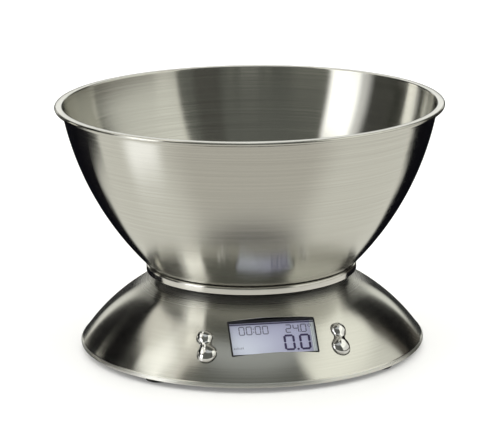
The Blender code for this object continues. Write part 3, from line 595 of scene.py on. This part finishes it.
def make_skirt():
    """The spun cover with its rolled edge, cut for the window and the two buttons."""
    deck_edge = arc((DECK_HOLE + 0.4, DECK_TOP - 0.4), 0.4, 180, 90, 3)
    outside = deck_edge + skirt_side(0.0, SKIRT_CREASE, DECK_TOP, 48)
    lip = smooth_line(
        [(LIP_RADIUS - 0.5, SKIRT_CREASE - 0.4), (LIP_RADIUS, SKIRT_CREASE - 1.3),
         (LIP_RADIUS - 0.1, LIP_BOTTOM + 0.2), (LIP_RADIUS - 0.5, LIP_BOTTOM),
         (LIP_RADIUS - 0.9, LIP_BOTTOM + 0.2), (LIP_RADIUS - 1.0, SKIRT_CREASE - 1.2)], 4
    )
    inside = skirt_side(SKIRT_WALL, SKIRT_CREASE - 0.5, DECK_TOP - SKIRT_WALL, 48)[::-1]
    bm = bmesh.new()
    turned(bm, outside + lip + inside + [(DECK_HOLE, DECK_TOP - SKIRT_WALL)], FINE_ROUND)
    skirt = piece_of("skirt_fine", bm, "base", "skirt_steel", stands_for=["skirt_shell"])

    tools = []
    bm = bmesh.new()
    window = round_box(WINDOW, WINDOW_CORNER)
    loft(bm, [at_height(window, -6.0), at_height(window, 8.0)], WINDOW_FRAME)
    tools.append(to_object("window_cut", bm))
    for side in (-1, 1):
        bm = bmesh.new()
        hole = figure_eight(BUTTON_GAP)
        loft(bm, [at_height(hole, -4.0), at_height(hole, 4.0)], button_frame(side))
        tools.append(to_object("button_cut", bm))
    cut(skirt, tools)
    smooth_skirt(skirt)


def smooth_skirt(skirt):
    """Gives the skirt's side the normals of its arc, so that the openings leave no creases."""
    mesh = skirt.data
    normals = [Vector(corner.vector) for corner in mesh.corner_normals]
    for face in mesh.polygons:
        for index in face.loop_indices:
            spot = mesh.vertices[mesh.loops[index].vertex_index].co / MM
            radius = math.hypot(spot.x, spot.y)
            across, height = radius - SKIRT_CENTRE[0], spot.z - SKIRT_CENTRE[1]
            reach = math.hypot(across, height)
            on_side = SKIRT_CREASE - 0.01 < spot.z < DECK_TOP - 0.01
            if not on_side or abs(reach - SKIRT_CURVE) > 0.05 or radius < 1.0:
                continue
            ideal = Vector((spot.x / radius * across, spot.y / radius * across, height)) / reach
            if face.normal.dot(ideal) > 0.98:
                normals[index] = ideal
    mesh.normals_split_custom_set(normals)


# ---------------------------------------------------------------- feet

def make_feet():
    """Four rubber feet, each with a barbed peg through the base plate."""
    profile = [(0.0, 0.0), (FOOT_RADIUS - 1.0, 0.0)]
    profile += arc((FOOT_RADIUS - 0.8, 0.8), 0.8, -90, 0, 5)
    profile += [(FOOT_RADIUS, FOOT_TOP), (FOOT_PEG_RADIUS, FOOT_TOP),
                (FOOT_PEG_RADIUS, FOOT_BARB_BOTTOM), (FOOT_BARB_RADIUS, FOOT_BARB_BOTTOM),
                (2.6, FOOT_PEG_TOP), (0.0, FOOT_PEG_TOP)]
    reach = FOOT_CIRCLE * math.sqrt(0.5)
    for depth, y in (("front", -reach), ("rear", reach)):
        for side, x in (("left", -reach), ("right", reach)):
            bm = bmesh.new()
            turned(bm, profile, MID_ROUND, Matrix.Translation((x, y, 0.0)))
            name = f"foot_{depth}_{side}"
            piece_of(f"{name}_fine", bm, "base", "rubber", stands_for=[name])


# ---------------------------------------------------------------- display

SEGMENTS = {"0": "abcdef", "2": "abged", "4": "fgbc"}


def window_height(x, y):
    """How far the skirt's outside stands above a spot in the window's plane."""
    low, high = -3.0, 6.0
    for _ in range(24):
        middle = (low + high) / 2
        spot = WINDOW_FRAME @ Vector((x, y, middle))
        reach = math.hypot(math.hypot(spot.x, spot.y) - SKIRT_CENTRE[0], spot.z - SKIRT_CENTRE[1])
        low, high = (middle, high) if reach < SKIRT_CURVE else (low, middle)
    return low


def segment_spots(width, height):
    """Each segment's ends, for a digit whose lower left corner is at the origin."""
    half = height / 2
    return {
        "a": ((0, height), (width, height)), "g": ((0, half), (width, half)),
        "d": ((0, 0), (width, 0)), "f": ((0, half), (0, height)), "e": ((0, 0), (0, half)),
        "b": ((width, half), (width, height)), "c": ((width, 0), (width, half)),
    }


def add_bar(bm, start, end, stroke, height):
    """A flat six-sided bar between two points, pointed at its ends."""
    a, b = Vector(start), Vector(end)
    along = (b - a).normalized()
    aside = Vector((-along.y, along.x)) * stroke / 2
    a, b = a + along * stroke * 0.42, b - along * stroke * 0.42
    tip = along * stroke * 0.32
    ring = [a - tip, a - aside, b - aside, b + tip, b + aside, a + aside]
    flat = [(p.x, p.y) for p in ring]
    loft(bm, [at_height(flat, height), at_height(flat, height + INK_THICK)], WINDOW_FRAME)


def add_dot(bm, spot, size, height):
    """A flat round dot."""
    flat = arc(spot, size / 2, 0, 360, 12)[:-1]
    loft(bm, [at_height(flat, height), at_height(flat, height + INK_THICK)], WINDOW_FRAME)


def make_reading(name, text, corner, digit, stroke, pitch, look):
    """A row of seven-segment digits, with its dots and colons, on the display's face."""
    bm = bmesh.new()
    x, y = corner
    ink = LCD_FACE_TOP + INK_RISE
    width, height = digit
    for mark in text:
        if mark == ".":
            add_dot(bm, (x - (pitch - width) / 2, y), stroke * 1.05, ink)
        elif mark == ":":
            for part in (0.3, 0.7):
                add_dot(bm, (x - (pitch - width) / 2 + 0.45, y + height * part), stroke * 1.2, ink)
            x += 0.9
        elif mark == "o":
            ring = arc((x + width * 0.25, y + height * 0.82), width * 0.34, 0, 360, 8)
            for start, end in zip(ring, ring[1:]):
                add_bar(bm, start, end, stroke * 0.6, ink)
        else:
            spots = segment_spots(width, height)
            for part in SEGMENTS[mark]:
                start, end = spots[part]
                add_bar(bm, (x + start[0], y + start[1]), (x + end[0], y + end[1]), stroke, ink)
            x += pitch
    piece_of(name, bm, "base", "lcd", look)


# Each reading: its text, its lower left corner, a digit's width and height, the stroke, the
# distance from digit to digit, and the ink
TIMER = ("00:00", (-17.3, 4.3), (2.7, 5.0), 0.55, 4.0, "small_ink")
TEMPERATURE = ("24.0o", (8.2, 4.5), (2.7, 4.8), 0.6, 4.1, "small_ink")
WEIGHT = ("0.0", (6.7, -6.4), (4.8, 8.9), 1.25, 8.5, "weight_ink")
INK_RISE = 0.02                 # from the display's face to the underside of the ink
INK_THICK = 0.03
UNIT_MARKS = (1.3, 1.0, 1.6, 1.0, 1.3, 1.6)     # heights of a faint row of dashes
UNIT_MARK_AT = (-21.2, -4.9)
UNIT_MARK_PITCH = 0.95

# Rings of the window's black edge: how far each is inside the opening and below the steel
COLLAR_RINGS = ((0.02, 2.0), (0.02, 0.12), (0.25, 0.05), (0.75, 0.25), (0.75, 2.0), (0.02, 2.0))
COLLAR_SHIFT = (0.25, 0.35)     # how far its inner edge is off the middle


def make_display():
    """The lens, the display panel behind it, the black window edge and the readings."""
    bm = bmesh.new()
    lens = round_box(LENS, 1.2)
    slim = round_box((LENS[0] - 0.3, LENS[1] - 0.3), 1.05)
    low = LENS_TOP - LENS_THICK
    loft(bm, [at_height(slim, low), at_height(lens, low + 0.15), at_height(lens, LENS_TOP - 0.15),
              at_height(slim, LENS_TOP)], WINDOW_FRAME)
    piece_of("lens_fine", bm, "base", "window", stands_for=["lcd_window"], sharp=20)

    bm = bmesh.new()
    body, face = round_box(LCD, 0.5), round_box(LCD_FACE, 0.5)
    loft(bm, [at_height(body, LCD_TOP - LCD_THICK), at_height(body, LCD_TOP),
              at_height(face, LCD_TOP), at_height(face, LCD_FACE_TOP)], WINDOW_FRAME)
    piece_of("display_panel", bm, "base", "lcd", stands_for=["lcd_panel"])

    # the frame's black collar, which lines the window's edge in the curved steel
    bm = bmesh.new()
    rings = []
    for inset, drop in COLLAR_RINGS:
        outline = round_box([side - 2 * inset for side in WINDOW], WINDOW_CORNER - inset, 4)
        if inset > 0.5:
            outline = [(x + COLLAR_SHIFT[0], y + COLLAR_SHIFT[1]) for x, y in outline]
        rings.append([(x, y, window_height(x, y) - drop) for x, y in outline])
    loft(bm, rings, WINDOW_FRAME, caps=False)
    bmesh.ops.remove_doubles(bm, verts=bm.verts, dist=1e-4)
    piece_of("window_collar", bm, "base", "dark_plastic", "gasket")

    make_reading("timer_digits", *TIMER)
    make_reading("temperature_digits", *TEMPERATURE)
    bm = bmesh.new()
    left, low = UNIT_MARK_AT
    for i, tall in enumerate(UNIT_MARKS):
        x = left + UNIT_MARK_PITCH * i
        add_bar(bm, (x, low), (x, low + tall), 0.5, LCD_FACE_TOP + INK_RISE)
    piece_of("unit_mark", bm, "base", "lcd", "faint_ink")
    make_reading("weight_digits", *WEIGHT)


# ---------------------------------------------------------------- buttons

def make_buttons():
    """Two domes that run into each other over a lower saddle at the waist."""
    edge = figure_eight(0.0)
    low_at, high_at = LOBE_SPOTS
    waist = low_at + (high_at - low_at) * LOWER_LOBE / (LOWER_LOBE + UPPER_LOBE)
    spine = [min(max(y, low_at), high_at) for _, y in edge]
    flange = figure_eight(FLANGE_WIDTH)
    rings = [at_height(flange, FLANGE_BOTTOM), at_height(flange, FLANGE_TOP),
             at_height(edge, FLANGE_TOP), at_height(edge, 0.0)]
    steps = 14
    for i in range(1, steps + 1):
        turn = math.pi / 2 * i / steps
        ring = []
        for (x, y), middle in zip(edge, spine):
            dip = WAIST_DIP * math.exp(-((middle - waist) / WAIST_SPREAD) ** 2)
            tall = BUTTON_PROUD * (1.0 - dip)
            ring.append((x * math.cos(turn), middle + (y - middle) * math.cos(turn),
                         tall * math.sin(turn)))
        rings.append(ring)
    for name, side in (("left", -1), ("right", 1)):
        bm = bmesh.new()
        loft(bm, rings, button_frame(side), caps=False)
        bmesh.ops.remove_doubles(bm, verts=bm.verts, dist=0.002)
        bmesh.ops.holes_fill(bm, edges=[edge for edge in bm.edges if edge.is_boundary])
        piece_of(f"button_{name}_fine", bm, f"button_{name}", "chrome",
                 stands_for=[f"button_{name}"], sharp=50)


# ---------------------------------------------------------------- studio

def camera_back():
    """From the scale towards the camera."""
    level = math.cos(CAMERA_ELEVATION)
    return Vector((math.sin(CAMERA_AZIMUTH) * level, -math.cos(CAMERA_AZIMUTH) * level,
                   math.sin(CAMERA_ELEVATION)))


def make_camera():
    """A long lens at the height and side from which the scale is looked at."""
    lens = bpy.data.cameras.new("camera")
    lens.sensor_width = 36.0
    lens.lens = CAMERA_LENS
    lens.shift_x = CAMERA_SHIFT
    lens.clip_start, lens.clip_end = 0.05, 50.0
    camera = bpy.data.objects.new("camera", lens)
    bpy.context.scene.collection.objects.link(camera)
    back = camera_back()
    turn = (-back).to_track_quat("-Z", "Y").to_matrix().to_4x4()
    spot = (Vector(CAMERA_AIM) + back * CAMERA_DISTANCE) * MM
    camera.matrix_world = Matrix.Translation(spot) @ turn @ Matrix.Rotation(-CAMERA_ROLL, 4, "Z")
    bpy.context.scene.camera = camera


# Light and dark cards round the scale, later ones in front of earlier ones. Each has its
# middle's azimuth from the camera's side (right is positive) and elevation, half its width and
# height, the width of its soft edge, all in degrees, and its colour.
CARDS = [
    ("table", (0, -47), (181, 44), 6, (0.80, 0.79, 0.72)),
    ("table_middle", (0, -42), (55, 22), 30, (0.60, 0.58, 0.52)),
    ("table_left_light", (-76, -31), (13, 5), 12, (1.7, 1.7, 1.68)),
    ("table_near", (0, -86), (181, 18), 14, (0.05, 0.045, 0.05)),
    ("rear_left_card", (-148, -15), (35, 13), 2, (0.004, 0.004, 0.006)),
    ("rear_left_low", (-163, -29), (25, 4), 3, (0.004, 0.004, 0.006)),
    ("rear_right_card", (155, -14.5), (30, 12.5), 2, (0.004, 0.004, 0.006)),
    ("rear_right_low", (163, -28), (24, 4), 3, (0.004, 0.004, 0.006)),
    ("camera_side", (-3, 28), (51, 30), 6, (0.13, 0.135, 0.12)),
    ("camera_right", (28, 20), (9, 24), 6, (0.09, 0.09, 0.08)),
    ("sky", (10, 76), (75, 16), 8, (0.52, 0.54, 0.53)),
    ("left_box", (-104, 47), (43, 9), 8, (0.95, 0.93, 0.84)),
    ("left_box_high", (-103, 62), (45, 6), 5, (0.95, 0.93, 0.84)),
    ("left_streak", (-112, 66), (24, 4), 2, (2.0, 1.95, 1.75)),
    ("left_dark", (-117, 20), (34, 19), 3, (0.006, 0.006, 0.006)),
    ("left_grey", (-97, 14), (10, 16), 6, (0.06, 0.06, 0.055)),
    ("left_soft", (-75, 13), (9, 18), 9, (1.0, 1.0, 0.98)),
    ("left_key", (-65, 13), (11, 18), 5, (2.2, 2.2, 2.15)),
    ("left_key_low", (-87, 44), (12, 10), 5, (1.5, 1.5, 1.4)),
    ("right_box", (85, 34), (37, 28), 4, (0.84, 0.84, 0.76)),
    ("right_under", (87, 0), (35, 6), 4, (0.22, 0.20, 0.17)),
    ("right_high", (91, 48), (41, 13), 7, (1.2, 1.2, 1.08)),
    ("right_dark", (145, 22), (15, 19), 3, (0.006, 0.006, 0.006)),
    ("right_low", (143, 0), (28, 6), 3, (0.10, 0.09, 0.075)),
    ("left_low", (-138, 0), (30, 3), 3, (0.36, 0.35, 0.31)),
    ("rear", (180, 0), (25, 12), 4, (0.03, 0.03, 0.03)),
    ("left_strip", (-156, 20), (4, 20), 4, (0.85, 0.85, 0.78)),
    ("right_strip", (157, 20), (4, 18), 4, (0.85, 0.86, 0.78)),
    ("left_gap", (-124, 6), (5, 6), 2, (1.6, 1.56, 1.36)),
    ("left_line", (-133, 4), (3, 7), 2, (0.06, 0.06, 0.06)),
    ("rear_sky", (180, 50), (13, 41), 4, (1.15, 1.15, 1.1)),
]
ROOM = (0.10, 0.09, 0.075)      # what is seen between the cards


def make_world():
    """A studio all round the scale, seen in its reflections. The backdrop itself is white."""
    world = bpy.data.worlds.new("studio")
    world.use_nodes = True
    bpy.context.scene.world = world
    tree = world.node_tree
    tree.nodes.clear()
    away = add_node(tree, "ShaderNodeTexCoord").outputs["Generated"]
    turned_away = add_node(
        tree, "ShaderNodeVectorRotate", {"Vector": away, "Angle": -CAMERA_AZIMUTH},
        rotation_type="Z_AXIS",
    ).outputs[0]
    part = add_node(tree, "ShaderNodeSeparateXYZ", {0: turned_away}).outputs
    azimuth = maths(tree, "ARCTAN2", part["X"], maths(tree, "MULTIPLY", part["Y"], -1.0))
    elevation = maths(tree, "ARCSINE", part["Z"])
    colour = ROOM
    for _, centre, half, soft, tint in CARDS:
        masks = []
        for value, middle, reach, wraps in (
            (azimuth, centre[0], half[0], True), (elevation, centre[1], half[1], False)
        ):
            offset = maths(tree, "SUBTRACT", value, math.radians(middle))
            if wraps:
                offset = maths(tree, "WRAP", offset, math.pi, -math.pi)
            size = maths(tree, "ABSOLUTE", offset)
            near, far = math.radians(reach - soft / 2), math.radians(reach + soft / 2)
            masks.append(fade(tree, size, far, near))
        colour = mix_colour(tree, maths(tree, "MULTIPLY", *masks), colour, tint)
    studio = add_node(tree, "ShaderNodeBackground", {"Color": colour, "Strength": 1.0})
    white = add_node(tree, "ShaderNodeBackground", {"Color": (1, 1, 1, 1), "Strength": 1.0})
    seen = add_node(tree, "ShaderNodeLightPath").outputs["Is Camera Ray"]
    both = add_node(tree, "ShaderNodeMixShader", {0: seen, 1: studio.outputs[0],
                                                  2: white.outputs[0]})
    out = add_node(tree, "ShaderNodeOutputWorld")
    tree.links.new(both.outputs[0], out.inputs["Surface"])


def make_floor():
    """A plain white floor that takes the shadow and isn't seen in reflections."""
    look, tree, shader = new_look(
        "floor", (0.92, 0.92, 0.92), 0.5, Emission_Color=(1.0, 1.0, 1.0, 1.0),
        Emission_Strength=0.15,
    )
    tree.links.new(mix_colour(tree, noise(tree, place_of(tree), 3.0), (0.91, 0.91, 0.91),
                              (0.93, 0.93, 0.93)), shader.inputs["Base Color"])
    bm = bmesh.new()
    bmesh.ops.create_grid(bm, x_segments=8, y_segments=8, size=20000.0)
    floor = to_object("floor", bm)
    floor.data.materials.append(look)
    floor.visible_glossy = False
    floor.visible_shadow = False


def make_lamp():
    """A broad lamp overhead for what isn't metal. It isn't seen in reflections."""
    lamp = bpy.data.lights.new("overhead", "AREA")
    lamp.shape = "DISK"
    lamp.size = 40.0
    lamp.energy = 3550.0
    holder = bpy.data.objects.new("overhead", lamp)
    holder.location = (0.0, 0.0, 8.0)
    holder.visible_glossy = False
    bpy.context.scene.collection.objects.link(holder)


def main():
    bpy.context.scene.view_settings.view_transform = "Standard"
    make_camera()
    make_world()
    make_lamp()
    make_floor()
    dress_cad_nodes()
    make_bowl()
    make_tray()
    make_skirt()
    make_feet()
    make_display()
    make_buttons()


main()
